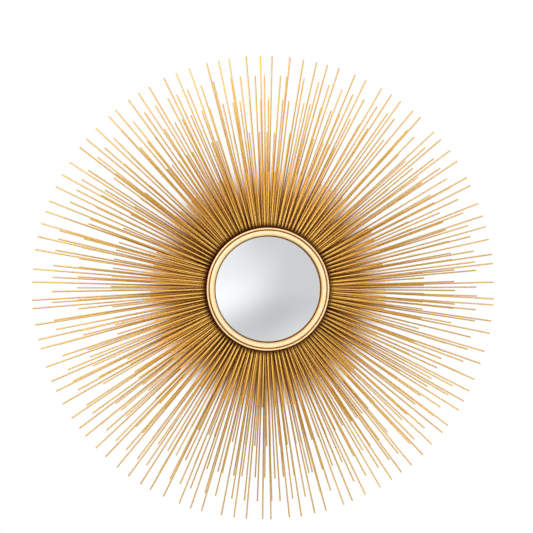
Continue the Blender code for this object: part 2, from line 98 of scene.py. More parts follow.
def middle(node):
    """The x and z of a CAD node's middle."""
    low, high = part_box(node)
    return (low.x + high.x) / 2, (low.z + high.z) / 2


# ---------------------------------------------------------------- settings
def length(name, text, millimetres):
    start = millimetres * MM
    return FloatProperty(name=name, description=text, default=start, min=0, unit="LENGTH", precision=4)


def colour(name, text, code):
    start = linear(code)
    return FloatVectorProperty(
        name=name, description=text, default=start, subtype="COLOR", size=3, min=0, max=1
    )


class RaySettings(bpy.types.PropertyGroup):
    count: IntVectorProperty(
        name="Rays",
        description="Rays in each layer, from the wall forwards",
        default=(104, 104, 116, 120, 112),
        size=LAYERS,
        min=4,
    )
    diameter: length("Diameter", "Thickness of the round rod", 3.0)
    sides: IntProperty(name="Sides", description="Flats round a ray's section", default=10, min=6)
    chamfer: length("Chamfer", "Edge taken off a ray's sawn end", 0.35)
    bead: length("Weld bead", "Radius of the brazing round a ray's root", 2.1)
    bead_long: length("Weld length", "Length of the brazing outside the band", 4.0)
    sunk: length("Sunk", "Length of a ray that is inside its band", 3.0)
    reach: FloatVectorProperty(
        name="Reach",
        description="Radius of each layer's tips, from the wall forwards",
        default=[r * MM for r in (500.0, 456.0, 402.0, 331.0, 248.0)],
        size=LAYERS,
        unit="LENGTH",
    )
    lean: FloatVectorProperty(
        name="Lean",
        description="How far each layer leans out from the wall",
        default=[math.radians(a) for a in (0, 3, 7, 12, 18)],
        size=LAYERS,
        subtype="EULER",
    )
    turn: FloatProperty(
        name="Turn", description="Share of a ray's spacing that each layer is turned by", default=0.382
    )
    seed: IntProperty(name="Seed", description="Sets the unevenness of hand welding", default=7)
    tip_wander: FloatProperty(
        name="Tip wander", description="Degrees that a tip is off its place", default=1.2
    )
    root_wander: FloatProperty(
        name="Root wander", description="Degrees that a root is off its place", default=0.35
    )
    lean_wander: FloatProperty(
        name="Lean wander", description="Degrees that a ray's lean is off", default=0.3
    )
    length_wander: length("Length wander", "How much longer or shorter a ray may be cut", 1.0)
    band_inner: length("Band inner radius", "Radius of the inside of a layer's band", 112.0)
    band_outer: length("Band outer radius", "Radius of the outside of a layer's band", 120.0)


class BezelSettings(bpy.types.PropertyGroup):
    lip_radius: length("Lip radius", "Radius of the opening in front of the glass", 113.4)
    pocket_radius: length("Pocket radius", "Radius of the pocket that holds the glass", 117.6)
    band_outer: length("Band outer radius", "Where the crowned band meets the groove", 124.4)
    crown: length("Crown", "How far the band's crown stands out", 3.6)
    flatness: FloatProperty(
        name="Flatness", description="1 is an elliptical crown, and less is flatter on top", default=0.6
    )
    bead: length("Bead radius", "Radius of the bead round the outside", 2.3)
    groove: length("Groove depth", "Depth of the groove between band and bead", 1.2)
    lip: length("Lip thickness", "Thickness of the lip over the glass", 2.2)
    rim: length("Rim", "Height of the upright side below the bead", 8.9)
    base_radius: length("Base radius", "Outer radius where it sits on the plate", 126.0)


class GlassSettings(bpy.types.PropertyGroup):
    curve: length("Curve radius", "Radius of the convex glass's sphere", 560.0)
    thickness: length("Thickness", "Thickness of the glass", 3.0)
    arris: length("Arris", "Width of the ground edge", 0.8)


class HangerSettings(bpy.types.PropertyGroup):
    wire: length("Wire", "Thickness of a ring's wire", 3.0)
    half_width: length("Half width", "From a ring's middle to its wire's middle", 13.5)
    side: length("Side", "From the hinge to the start of a ring's bow", 6.5)
    corner: length("Corner", "Bend radius beside the hinge", 2.5)
    sheet: length("Sheet", "Thickness of a strap", 1.5)
    strap_corner: length("Strap corner", "Radius of a strap's lower corners", 3.0)


class FinishSettings(bpy.types.PropertyGroup):
    gold: colour("Gold", "Gilt rays", "#D1AF67")
    gold_deep: colour("Deep gold", "Where the gilding is thin", "#C49B4E")
    # Painted shade: the rods' gold is painted deeper towards the hub, as shade and light bounced between the
    # gold rods.
    gold_hub_shade: colour("Rich gold", "Towards the hub, where the gilding is thick", "#DC8C1C")
    # Also painted as highlights on the rods' fronts near the hub and on their sawn ends.
    gold_pale: colour("Pale gold", "Where the gilding is rubbed bright", "#FBC766")
    # Also the colour of the painted shade on the rods' flanks, on their roots by the bezel and on the rods
    # deep between the others.
    glaze: colour("Glaze", "Brown ageing glaze, thick", "#421602")
    # Laid round the bezel's rim, partly as painted shade.
    umber_and_shade: colour("Umber", "Brown ageing glaze, thin", "#A85404")
    # Laid under the bezel's lip and in its groove, partly as painted shade.
    stain_and_shade: colour("Stain", "Golden brown glaze left on the bezel", "#B97F1E")
    bezel: colour("Bezel", "Satin bezel", "#FDE9BE")
    silver: colour("Silver", "The glass's silvering", "#F4F6F8")
    gasket: colour("Gasket", "Seal round the glass", "#2E1C0C")
    foam: colour("Foam", "Ring behind the glass", "#3A3A3A")
    bronze: colour("Bronze", "Hub paint", "#4B3018")
    zinc: colour("Zinc", "Plated steel", "#C9CACB")
    rubber: colour("Rubber", "Wall bumpers", "#1E1D1C")
    board: colour("Board", "Backing board", "#6E4B2C")


class StageSettings(bpy.types.PropertyGroup):
    distance: FloatProperty(
        name="Distance", description="From the camera to the mirror", default=3.2, unit="LENGTH"
    )
    azimuth: FloatProperty(
        name="Azimuth",
        description="Camera's place round the mirror",
        default=math.radians(-4.7),
        subtype="ANGLE",
    )
    elevation: FloatProperty(
        name="Elevation", description="Camera's height", default=math.radians(2.0), subtype="ANGLE"
    )
    lens: FloatProperty(name="Lens", description="Focal length in millimetres", default=99.8)
    aim: FloatVectorProperty(
        name="Aim",
        description="Point in the middle of the view",
        default=(0.0012, -0.013, 0.0469),
        size=3,
        subtype="XYZ",
    )
    floor: FloatProperty(
        name="Floor", description="How far the floor is below the mirror's centre", default=1.3, unit="LENGTH"
    )


# ---------------------------------------------------------------- modelling by hand
def put_down():
    """Leaves edit mode and deselects everything."""
    if bpy.context.object and bpy.context.object.mode != "OBJECT":
        bpy.ops.object.mode_set(mode="OBJECT")
    bpy.ops.object.select_all(action="DESELECT")


def take_up(piece):
    """Makes a piece the only one selected, and active."""
    put_down()
    piece.select_set(True)
    bpy.context.view_layer.objects.active = piece
    return piece


def open_up():
    """Goes into edit mode with every vertex selected."""
    bpy.ops.object.mode_set(mode="EDIT")
    bpy.ops.mesh.select_mode(type="VERT")
    bpy.ops.mesh.select_all(action="SELECT")


def pick(kind, test):
    """Selects the vertices, edges or faces being edited that pass a test."""
    bpy.ops.mesh.select_mode(type=kind)
    bpy.ops.mesh.select_all(action="DESELECT")
    mesh = bmesh.from_edit_mesh(bpy.context.object.data)
    for part in {"VERT": mesh.verts, "EDGE": mesh.edges, "FACE": mesh.faces}[kind]:
        if test(part):
            part.select_set(True)
    mesh.select_flush_mode()
    bmesh.update_edit_mesh(bpy.context.object.data)


def trace(points):
    """Draws a line of edges through points, and stays in edit mode."""
    put_down()
    bpy.ops.mesh.primitive_plane_add(size=MM, location=points[0])
    bpy.ops.object.transform_apply(location=True, rotation=False, scale=False)
    open_up()
    bpy.ops.mesh.merge(type="CENTER")
    for here, there in zip(points, points[1:]):
        bpy.ops.mesh.extrude_region_move(TRANSFORM_OT_translate={"value": Vector(there) - Vector(here)})
    return bpy.context.object


def close_up():
    """Merges what meets, points the faces outwards and leaves edit mode."""
    bpy.ops.mesh.select_all(action="SELECT")
    bpy.ops.mesh.remove_doubles(threshold=0.001 * MM)
    bpy.ops.mesh.normals_make_consistent(inside=False)
    bpy.ops.object.mode_set(mode="OBJECT")


def turn_on_lathe(outline, steps, centre=(0, 0)):
    """Spins an outline of (radius, depth) points round an axis that comes straight out of the wall."""
    x, z = centre
    piece = trace([(x + radius, -depth, z) for radius, depth in outline])
    bpy.ops.mesh.select_all(action="SELECT")
    bpy.ops.mesh.spin(steps=steps, angle=2 * math.pi, center=(x, 0, z), axis=(0, 1, 0))
    close_up()
    return piece


def turn_tube(outer, inner, rear, front):
    """A plain tube round the mirror's axis."""
    outline = [(outer, front), (outer, rear), (inner, rear), (inner, front), (outer, front)]
    return turn_on_lathe(outline, steps=128)


def copy_to(piece, move):
    """A copy with a mesh of its own, moved by a matrix that is kept in that mesh."""
    copy = piece.copy()
    copy.data = piece.data.copy()
    bpy.context.collection.objects.link(copy)
    copy.data.transform(move)
    return copy


def join(pieces):
    """Makes one object of several."""
    put_down()
    for piece in pieces:
        piece.select_set(True)
    bpy.context.view_layer.objects.active = pieces[0]
    bpy.ops.object.join()
    return pieces[0]


def bevel_edges(piece, width, segments=2, angle=30):
    """Rounds the edges that are sharper than an angle."""
    take_up(piece)
    bevel = piece.modifiers.new("edges", "BEVEL")
    bevel.width = width
    bevel.segments = segments
    bevel.limit_method = "ANGLE"
    bevel.angle_limit = math.radians(angle)
    bpy.ops.object.modifier_apply(modifier=bevel.name)


def cut_with(piece, cutter):
    """Takes a cutter's shape out of a piece."""
    take_up(piece)
    cut = piece.modifiers.new("cut", "BOOLEAN")
    cut.object = cutter
    cut.operation = "DIFFERENCE"
    bpy.ops.object.modifier_apply(modifier=cut.name)
    bpy.data.objects.remove(cutter, do_unlink=True)


def fit(piece, name, finish, nodes, body=MIRROR_BODY, angle=35):
    """Names, shades and finishes a piece, and puts it in the place of its CAD nodes."""
    take_up(piece)
    bpy.ops.object.transform_apply(location=True, rotation=True, scale=True)
    bpy.ops.object.shade_smooth_by_angle(angle=math.radians(angle))
    piece.name = piece.data.name = name
    piece.data.materials.clear()
    piece.data.materials.append(finish)
    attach(piece, body)
    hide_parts(*nodes)
    return piece


def set_all(pattern, name, finish, node):
    """Copies a piece from the place of the first node of its kind to all of them, and removes the pattern."""
    x, z = middle(f"{node}_1")
    for number in range(1, FASTENERS + 1):
        there = middle(f"{node}_{number}")
        copy = copy_to(pattern, Matrix.Translation((there[0] - x, 0, there[1] - z)))
        fit(copy, f"{name}_{number}", finish, [f"{node}_{number}"])
    bpy.data.objects.remove(pattern, do_unlink=True)


def refinish(finish, *names):
    """Gives CAD nodes that keep their shape a finish."""
    for name in names:
        mesh = frame["nodes"][name].data
        mesh.materials.clear()
        mesh.materials.append(finish)


# ---------------------------------------------------------------- finishes
def new_finish(name, roughness, metallic=0.0, edge=(1, 1, 1), varnish=0.5):
    """A plain Principled finish, and the coordinates of the piece that wears it.

    edge tints a glancing shine, and varnish is how strongly what isn't bare metal shines. A finish that is
    there already comes back without its shader.
    """
    finish = bpy.data.materials.get(name)
    if finish:
        return finish, None, None
    finish = bpy.data.materials.new(name)
    finish.use_nodes = True
    shader = finish.node_tree.nodes["Principled BSDF"]
    shader.inputs["Roughness"].default_value = roughness
    shader.inputs["Metallic"].default_value = metallic
    shader.inputs["Specular Tint"].default_value = rgba(edge)
    shader.inputs["Specular IOR Level"].default_value = varnish
    place = add_node(finish.node_tree, "TexCoord").outputs["Object"]
    return finish, shader, place


def add_node(tree, kind, settings=None, inputs=None):
    """Adds a node, with its own settings, and its inputs as values or as other nodes' outputs."""
    node = tree.nodes.new("ShaderNode" + kind)
    for name, value in (settings or {}).items():
        setattr(node, name, value)
    for name, value in (inputs or {}).items():
        if isinstance(value, bpy.types.NodeSocket):
            tree.links.new(value, node.inputs[name])
        else:
            node.inputs[name].default_value = value
    return node


def rgba(colour):
    return (*colour, 1.0)


def ramps(tree, *steps):
    """Smooth ramps, multiplied together. Each is a value, the range it runs over, and what that becomes."""
    product = None
    for value, start, end, low, high in steps:
        inputs = {"Value": value, "From Min": start, "From Max": end, "To Min": low, "To Max": high}
        ramp = add_node(tree, "MapRange", {"interpolation_type": "SMOOTHSTEP"}, inputs).outputs["Result"]
        if product is not None:
            ramp = add_node(tree, "Math", {"operation": "MULTIPLY"}, {0: product, 1: ramp}).outputs["Value"]
        product = ramp
    return product


def coat(tree, under, over, *steps):
    """Lays one colour over another, as thickly as its ramps say."""
    under, over = (c if isinstance(c, bpy.types.NodeSocket) else rgba(c) for c in (under, over))
    inputs = {"Factor": ramps(tree, *steps), "A": under, "B": over}
    return add_node(tree, "Mix", {"data_type": "RGBA"}, inputs).outputs["Result"]


def distance_from_axis(tree, place):
    """A point's place along the wall, and its distance from the line straight out of the mirror's centre."""
    along_wall = {0: place, 1: (1, 0, 1)}
    flat = add_node(tree, "VectorMath", {"operation": "MULTIPLY"}, along_wall).outputs["Vector"]
    return flat, add_node(tree, "VectorMath", {"operation": "LENGTH"}, {0: flat}).outputs["Value"]


def gilt_rod(colours):
    """Steel rod with sprayed gilding and a wiped brown glaze.

    It is a warm gold that is uneven from rod to rod, rubbed paler in streaks along the rod and flecked with
    glaze.
    Painted highlights make the sawn ends and the fronts near the hub pale. Painted shade browns the flanks,
    most of all near the hub, and the rods that lie deep between the others, deepens the gold towards the hub
    and, with glaze, darkens the roots just outside the bezel.
    """
    finish, shader, place = new_finish("gilt_rod", 0.4, metallic=1.0, edge=colours.gold_deep, varnish=0.1)
    if shader is None:
        return finish
    tree = finish.node_tree
    flat, radius = distance_from_axis(tree, place)
    towards_wall = add_node(tree, "SeparateXYZ", None, {"Vector": place}).outputs["Y"]
    normal = add_node(tree, "TexCoord").outputs["Normal"]
    outwards = add_node(tree, "VectorMath", {"operation": "NORMALIZE"}, {0: flat}).outputs["Vector"]
    forwards, endwise = (
        add_node(tree, "VectorMath", {"operation": "DOT_PRODUCT"}, {0: normal, 1: way}).outputs["Value"]
        for way in ((0, -1, 0), outwards)
    )

    # Rods differ over some 300 mm of stock. Rubbed streaks run along the rod. Glaze specks are some 5 mm.
    stock = add_node(tree, "Attribute", {"attribute_name": "stock"}).outputs["Vector"]
    along = add_node(tree, "Mapping", None, {"Vector": stock, "Scale": (1.0, 1.0, 0.06)}).outputs["Vector"]
    sizes = ((stock, 300, 1.0), (along, 1.6, 3.0), (stock, 5, 4.0))
    patterns = [{"Vector": at, "Scale": 1 / (size * MM), "Detail": detail} for at, size, detail in sizes]
    batch, streak, speck = (add_node(tree, "TexNoise", None, p).outputs["Fac"] for p in patterns)
    leaf = coat(tree, colours.gold_deep, colours.gold, (batch, 0.35, 0.65, 0, 1))
    # Painted shade: towards the hub the gold is painted deeper, as shade and light bounced between the gold
    # rods.
    leaf = coat(tree, leaf, colours.gold_hub_shade, (radius, 170 * MM, 350 * MM, 0.95, 0))
    leaf = coat(tree, leaf, colours.gold_pale, (streak, 0.5, 0.8, 0, 0.3))
    leaf = coat(tree, leaf, colours.glaze, (speck, 0.62, 0.78, 0, 0.3))

    # Near the hub the fronts are painted pale, a painted highlight. Painted shade browns the flanks, where a
    # rod faces sideways, and the rods that lie deep between the others; the roots just outside the bezel get
    # glaze and a painted shadow.
    rubbed = ((forwards, 0.65, 0.92, 0, 1), (radius, 150 * MM, 330 * MM, 1, 0))
    leaf = coat(tree, leaf, colours.gold_pale, *rubbed)
    flank_shade = ramps(
        tree, (forwards, 0.5, 0.9, 1, 0), (forwards, -0.7, 0.1, 0.3, 1), (radius, 180 * MM, 420 * MM, 1, 0.15)
    )
    # Painted shadow of the bezel's rim, with glaze, on the roots just outside the bezel.
    weld = ramps(tree, (radius, 131 * MM, 146 * MM, 1, 0))
    # Painted shade on the rods that lie deep, close to the wall, between the others.
    deep = ramps(tree, (towards_wall, -50 * MM, -20 * MM, 0, 0.8), (radius, 180 * MM, 340 * MM, 1, 0))
    # Painted shade and glaze are laid on together in the glaze's colour, and dull the metal where they lie.
    shade_and_glaze = flank_shade
    for part in (weld, deep):
        shade_and_glaze = add_node(tree, "Math", {"operation": "MAXIMUM"}, {0: shade_and_glaze, 1: part}).outputs["Value"]
    wiped = {"Factor": shade_and_glaze, "A": leaf, "B": rgba(colours.glaze)}
    leaf = add_node(tree, "Mix", {"data_type": "RGBA"}, wiped).outputs["Result"]
    tree.links.new(ramps(tree, (shade_and_glaze, 0, 1, 1, 0.1)), shader.inputs["Metallic"])

    # A sawn end faces away from the hub, and is painted pale: a painted highlight.
    leaf = coat(tree, leaf, colours.gold_pale, (endwise, 0.6, 0.9, 0, 0.9))
    tree.links.new(leaf, shader.inputs["Base Color"])
    tree.links.new(ramps(tree, (streak, 0, 1, 0.34, 0.48)), shader.inputs["Roughness"])
    strokes = {"Height": streak, "Strength": 0.1, "Distance": 0.05 * MM}
    tree.links.new(add_node(tree, "Bump", None, strokes).outputs["Normal"], shader.inputs["Normal"])
    return finish


def satin_gilt(colours, bezel):
    """Turned moulding, gessoed and gilded to a satin cream gold.

    Darker golden brown bands, partly glaze and partly painted shade, lie in the groove, under the lip and
    round the rim;
    the crowns are clean. The lathe left faint rings.
    """
    finish, shader, place = new_finish("satin_gilt", 0.42, metallic=0.65, edge=colours.gold, varnish=0.2)
    if shader is None:
        return finish
    tree = finish.node_tree
    radius = distance_from_axis(tree, place)[1]
    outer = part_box("bezel")[1].x
    groove = (bezel.band_outer + outer - 2 * bezel.bead) / 2
    clouds = {"Vector": place, "Scale": 1 / (14 * MM), "Detail": 3.0}
    cloud = add_node(tree, "TexNoise", None, clouds).outputs["Fac"]
    leaf = coat(tree, colours.bezel, colours.gold_pale, (cloud, 0.45, 0.75, 0, 0.25))
    # Each darker band, partly glaze and partly painted shade: where it lies, how far it spreads in
    # millimetres, how thick it is, and its colour.
    for centre, spread, thick, stain_and_shade in (
        (bezel.lip_radius, 4.2, 0.95, colours.stain_and_shade),
        (groove, 3.9, 1.0, colours.stain_and_shade),
        (outer, 1.9, 1.0, colours.umber_and_shade),
    ):
        off = add_node(tree, "Math", {"operation": "SUBTRACT"}, {0: radius, 1: centre}).outputs["Value"]
        off = add_node(tree, "Math", {"operation": "ABSOLUTE"}, {0: off}).outputs["Value"]
        leaf = coat(tree, leaf, stain_and_shade, (off, 0, spread * MM, thick, 0))
    tree.links.new(leaf, shader.inputs["Base Color"])
    lathe = {"W": radius, "Scale": 1 / (0.5 * MM), "Detail": 2.0}
    rings = add_node(tree, "TexNoise", {"noise_dimensions": "1D"}, lathe).outputs["Fac"]
    turned = {"Height": rings, "Strength": 0.12, "Distance": 0.1 * MM}
    tree.links.new(add_node(tree, "Bump", None, turned).outputs["Normal"], shader.inputs["Normal"])
    return finish


def silvered_glass(colours):
    """Bent float glass with a silver back: a clear, cold reflection that waves a little with the bend."""
    finish, shader, place = new_finish("silvered_glass", 0.015, metallic=1.0)
    if shader is None:
        return finish
    tree = finish.node_tree
    shader.inputs["Base Color"].default_value = rgba(colours.silver)
    bend = {"Vector": place, "Scale": 1 / (60 * MM), "Detail": 1.0}
    wave = add_node(tree, "TexNoise", None, bend).outputs["Fac"]
    waves = {"Height": wave, "Strength": 0.05, "Distance": 0.5 * MM}
    tree.links.new(add_node(tree, "Bump", None, waves).outputs["Normal"], shader.inputs["Normal"])
    return finish


def hub_paint(colours):
    """Mild steel under a brushed-on bronze paint: dark and brown, a little streaky, dull with a low sheen."""
    finish, shader, place = new_finish("hub_paint", 0.5, metallic=0.35)
    if shader is None:
        return finish
    tree = finish.node_tree
    clouds = {"Vector": place, "Scale": 1 / (18 * MM), "Detail": 5.0}
    cloud = add_node(tree, "TexNoise", None, clouds).outputs["Fac"]
    strokes = {"Value": cloud, "From Min": 0.35, "From Max": 0.7}
    thin = add_node(tree, "MapRange", None, strokes).outputs["Result"]
    brushed = {"Factor": thin, "A": rgba(colours.bronze), "B": rgba(colours.glaze)}
    paint = add_node(tree, "Mix", {"data_type": "RGBA"}, brushed).outputs["Result"]
    tree.links.new(paint, shader.inputs["Base Color"])
    grains = {"Vector": place, "Scale": 1 / (0.9 * MM), "Detail": 2.0}
    grit = add_node(tree, "TexNoise", None, grains).outputs["Fac"]
    rough = {"Height": grit, "Strength": 0.3, "Distance": 0.1 * MM}
    tree.links.new(add_node(tree, "Bump", None, rough).outputs["Normal"], shader.inputs["Normal"])
    return finish


def zinc_plate(colours):
    """Bright zinc on pressed steel: a cool grey metal with soft clouds in its shine and fine scratches."""
    finish, shader, place = new_finish("zinc_plate", 0.3, metallic=1.0)
    if shader is None:
        return finish
    tree = finish.node_tree
    clouds = {"Vector": place, "Scale": 1 / (4 * MM), "Detail": 3.0}
    cloud = add_node(tree, "TexNoise", None, clouds).outputs["Fac"]
    dull = [c * 0.7 for c in colours.zinc]
    clouded = {"Factor": cloud, "A": rgba(colours.zinc), "B": rgba(dull)}
    plate = add_node(tree, "Mix", {"data_type": "RGBA"}, clouded).outputs["Result"]
    tree.links.new(plate, shader.inputs["Base Color"])
    shine = {"Value": cloud, "To Min": 0.22, "To Max": 0.45}
    tree.links.new(add_node(tree, "MapRange", None, shine).outputs["Result"], shader.inputs["Roughness"])
    return finish


def moulded_rubber(name, tone):
    """Moulded rubber: dark and matt, with a fine skin left by the mould."""
    finish, shader, place = new_finish(name, 0.72)
    if shader is None:
        return finish
    tree = finish.node_tree
    grains = {"Vector": place, "Scale": 1 / (0.6 * MM), "Detail": 2.0}
    skin = add_node(tree, "TexNoise", None, grains).outputs["Fac"]
    patches = {"Value": skin, "From Min": 0.3, "From Max": 0.8, "To Max": 0.35}
    bloom = add_node(tree, "MapRange", None, patches).outputs["Result"]
    grey = [min(1, c * 1.8 + 0.01) for c in tone]
    worn = {"Factor": bloom, "A": rgba(tone), "B": rgba(grey)}
    rubber = add_node(tree, "Mix", {"data_type": "RGBA"}, worn).outputs["Result"]
    tree.links.new(rubber, shader.inputs["Base Color"])
    fine = {"Height": skin, "Strength": 0.2, "Distance": 0.05 * MM}
    tree.links.new(add_node(tree, "Bump", None, fine).outputs["Normal"], shader.inputs["Normal"])
    return finish


def hardboard(colours):
    """Pressed wood fibre: brown and flecked, with short fibres lying every way."""
    finish, shader, place = new_finish("hardboard", 0.8)
    if shader is None:
        return finish
    tree = finish.node_tree
    felt = {"Vector": place, "Scale": 1 / (1.2 * MM), "Detail": 5.0, "Distortion": 1.5}
    fibre = add_node(tree, "TexNoise", None, felt).outputs["Fac"]
    dark = [c * 0.55 for c in colours.board]
    flecked = {"Factor": fibre, "A": rgba(dark), "B": rgba(colours.board)}
    board = add_node(tree, "Mix", {"data_type": "RGBA"}, flecked).outputs["Result"]
    tree.links.new(board, shader.inputs["Base Color"])
    return finish


# ---------------------------------------------------------------- pieces
class SUNBURST_OT_rays(bpy.types.Operator):
    """Fans each layer of round rays out of its band"""

    bl_idname = "sunburst.rays"
    bl_label = "Rays"

    def execute(self, context):
        rays = context.scene.sunburst_rays
        finish = gilt_rod(context.scene.sunburst_finish)
        for layer in range(LAYERS):
            self.make_layer(rays, layer, finish)
        return {"FINISHED"}

    def make_layer(self, rays, layer, finish):
        nodes = [f"ray_layer_{layer + 1}_quarter_{q + 1}" for q in range(QUARTERS)]
        depth = self.band_depth(layer)
        pattern = self.model_ray(rays, rays.reach[layer] - rays.band_outer + rays.sunk)
        dice = random.Random(rays.seed + layer)
        fan = []
        for index in range(rays.count[layer]):
            root, tip = self.ends(rays, layer, index, depth, dice)
            fan.append(self.place_ray(pattern, root, tip, index * LAYERS + layer))
        bpy.data.objects.remove(pattern, do_unlink=True)
        fan.append(self.make_band(rays, depth))
        fit(join(fan), f"ray_layer_{layer + 1}", finish, nodes, angle=50)

    def band_depth(self, layer):
        """The middle of a layer's band. The bands are as far apart as the spacers between them."""
        band_front = depths(f"ray_spacer_{layer + 1}")[0]
        first_front = depths("ray_spacer_1")[0]
        half_band = (first_front - depths("back_plate")[1]) / 2
        return band_front - half_band

    def ends(self, rays, layer, index, depth, dice):
        """A ray's root and tip. It crosses the middle of its band halfway along the weld."""
        spacing = 360 / rays.count[layer]
        angle = 90 - layer * rays.turn * spacing - (index + 0.5) * spacing
        root_radius = rays.band_outer - rays.sunk
        tip_radius = rays.reach[layer] + dice.uniform(-rays.length_wander, rays.length_wander)
        root_angle = angle + dice.uniform(-rays.root_wander, rays.root_wander)
        tip_angle = angle + dice.triangular(-rays.tip_wander, rays.tip_wander)
        lean = math.tan(rays.lean[layer] + math.radians(dice.uniform(-rays.lean_wander, rays.lean_wander)))
        weld = rays.band_outer - rays.sunk / 2
        root = on_wall(root_radius, root_angle, depth + (root_radius - weld) * lean)
        tip = on_wall(tip_radius, tip_angle, depth + (tip_radius - weld) * lean)
        return root, tip

    def model_ray(self, rays, long):
        """One ray standing on its root, with a bead of brazing outside the band, and a chamfered tip."""
        radius = rays.diameter / 2
        bead_end = rays.sunk + rays.bead_long
        slope = 0.4 * rays.bead_long
        shaft = long - rays.chamfer - bead_end
        middle_of_shaft = (0, 0, bead_end + shaft / 2)
        put_down()
        bpy.ops.mesh.primitive_cylinder_add(
            vertices=rays.sides, radius=radius, depth=shaft, location=middle_of_shaft
        )
        bpy.ops.object.transform_apply(location=True, rotation=False, scale=False)
        open_up()
        pick("FACE", lambda face: face.normal.z > 0.9)
        self.pull(rays.chamfer, 1 - rays.chamfer / radius, long)
        pick("FACE", lambda face: face.normal.z < -0.9)
        self.pull(-slope, rays.bead / radius, bead_end - slope)
        self.pull(slope - rays.bead_long, 1.0, rays.sunk)
        self.pull(-rays.sunk, 0.8, 0)
        bpy.ops.object.mode_set(mode="OBJECT")
        return bpy.context.object

    def pull(self, by, widen, height):
        """Extrudes the picked end along the ray and makes it wider or narrower."""
        bpy.ops.mesh.extrude_region_move(TRANSFORM_OT_translate={"value": (0, 0, by)})
        bpy.ops.transform.resize(value=(widen, widen, 1), center_override=(0, 0, height))

    def place_ray(self, pattern, root, tip, number):
        """A copy of the ray between two points. Each vertex remembers where it was on the stock rod."""
        along = tip - root
        turn = along.to_track_quat("Z", "Y").to_matrix().to_4x4()
        stretch = Matrix.Diagonal((1, 1, along.length / pattern.dimensions.z, 1))
        ray = copy_to(pattern, Matrix.Identity(4))
        # Rays are cut from stock far enough apart that no two have the same streaks.
        cut_from = Vector((0.05 * number, 0, 0.6 * number))
        stock = ray.data.attributes.new("stock", "FLOAT_VECTOR", "POINT")
        for point, vertex in zip(stock.data, ray.data.vertices):
            point.vector = vertex.co + cut_from
        ray.data.transform(Matrix.Translation(root) @ turn @ stretch)
        return ray

    def make_band(self, rays, depth):
        """The flat ring that a layer's rays are welded to, with its outer corners eased."""
        half = 2.5 * MM
        edge = 0.4 * MM
        outline = [
            (rays.band_outer, depth + half - edge),
            (rays.band_outer, depth - half + edge),
            (rays.band_outer - edge, depth - half),
            (rays.band_inner, depth - half),
            (rays.band_inner, depth + half),
            (rays.band_outer - edge, depth + half),
            (rays.band_outer, depth + half - edge),
        ]
        return turn_on_lathe(outline, steps=96)


class SUNBURST_OT_bezel(bpy.types.Operator):
    """Turns the bezel's bead, groove and crowned band, with the pocket behind its lip"""

    bl_idname = "sunburst.bezel"
    bl_label = "Bezel"

    def execute(self, context):
        bezel = context.scene.sunburst_bezel
        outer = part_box("bezel")[1].x
        base, front = depths("bezel")
        lip = front - bezel.crown
        half = (bezel.band_outer - bezel.lip_radius) / 2
        bead_middle = outer - bezel.bead
        groove_half = (outer - 2 * bezel.bead - bezel.band_outer) / 2
        crown = [(across, max(0, up) ** bezel.flatness) for across, up in arc((0, 0), (1, 1), 180, 0, 32)]
        outline = [(bezel.lip_radius + half * (1 + across), lip + bezel.crown * up) for across, up in crown]
        outline += arc((bezel.band_outer + groove_half, lip), (groove_half, bezel.groove), 180, 360, 8)
        outline += arc((bead_middle, lip), (bezel.bead, bezel.bead), 180, 0, 16)
        outline += [
            (outer, lip - bezel.rim),
            (bezel.base_radius, base),
            (bezel.pocket_radius, base),
            (bezel.pocket_radius, lip - bezel.lip),
            (bezel.lip_radius, lip - bezel.lip),
            (bezel.lip_radius, lip),
        ]
        finish = satin_gilt(context.scene.sunburst_finish, bezel)
        fit(turn_on_lathe(outline, steps=160), "bezel_moulding", finish, ["bezel"])
        return {"FINISHED"}


class SUNBURST_OT_glass(bpy.types.Operator):
    """Domes the mirror glass and grinds its edge, and adds the gasket round it and what lies behind it"""

    bl_idname = "sunburst.glass"
    bl_label = "Glass"

    def execute(self, context):
        glass = context.scene.sunburst_glass
        colours = context.scene.sunburst_finish
        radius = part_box("mirror_glass")[1].x
        crown = depths("mirror_glass")[1]
        steps = 26
        radii = [(radius - glass.arris) * i / steps for i in range(steps + 1)]
        front = [(r, crown - self.drop(glass, r)) for r in radii]
        edge_front = crown - self.drop(glass, radius) - glass.arris
        edge_rear = crown - self.drop(glass, radius) - glass.thickness
        rear = [(r, d - glass.thickness) for r, d in reversed(front)]
        outline = front + [(radius, edge_front), (radius, edge_rear)] + rear
        dome = turn_on_lathe(outline, steps=128)
        fit(dome, "convex_glass", silvered_glass(colours), ["mirror_glass"], angle=20)
        self.make_gasket(colours)
        refinish(moulded_rubber("foam", colours.foam), "foam_ring")
        refinish(hardboard(colours), "backing_board")
        return {"FINISHED"}

    def drop(self, glass, radius):
        """How far the dome falls back from its crown at a radius."""
        return glass.curve - math.sqrt(glass.curve**2 - radius**2)

    def make_gasket(self, colours):
        """A ring with a rounded inner edge, which shows inside the lip."""
        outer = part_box("glass_gasket")[1].x
        inner = 111.8 * MM
        rear, front = depths("glass_gasket")
        half = (front - rear) / 2
        outline = [(outer, front), (outer, rear)]
        outline += arc((inner + half, rear + half), (half, half), 270, 90, 8)
        outline += [(outer, front)]
        rubber = moulded_rubber("gasket_rubber", colours.gasket)
        fit(turn_on_lathe(outline, steps=128), "gasket", rubber, ["glass_gasket"])


